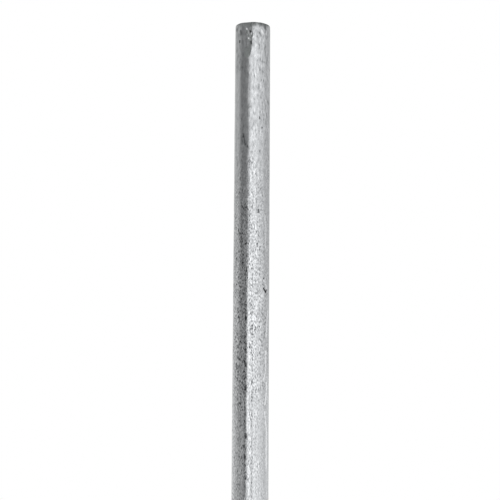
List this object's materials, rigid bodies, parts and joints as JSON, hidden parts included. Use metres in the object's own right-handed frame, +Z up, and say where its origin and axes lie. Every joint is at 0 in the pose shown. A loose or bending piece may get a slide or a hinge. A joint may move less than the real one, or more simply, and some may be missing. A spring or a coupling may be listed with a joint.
{
  "type": "earth rod",
  "caption": "Straight round galvanised steel rod with a flat sheared head and a conical point, driven into soil to earth poles, lines and substation equipment.",
  "frame": {"origin": "tip of the point, on the rod's axis", "axes": "+Z up along the rod's axis, from the point to the head; -Y towards the side that the picture shows; +X to the right in that view"},
  "size_m": [0.016, 0.016, 1.2003],
  "materials": {
    "galvanised_steel": "hot-dip galvanised: grey zinc with a fine raised grain, satin to dull"
  },
  "bodies": {
    "root": {"earth_rod": "galvanised_steel"}
  },
  "joints": []
}
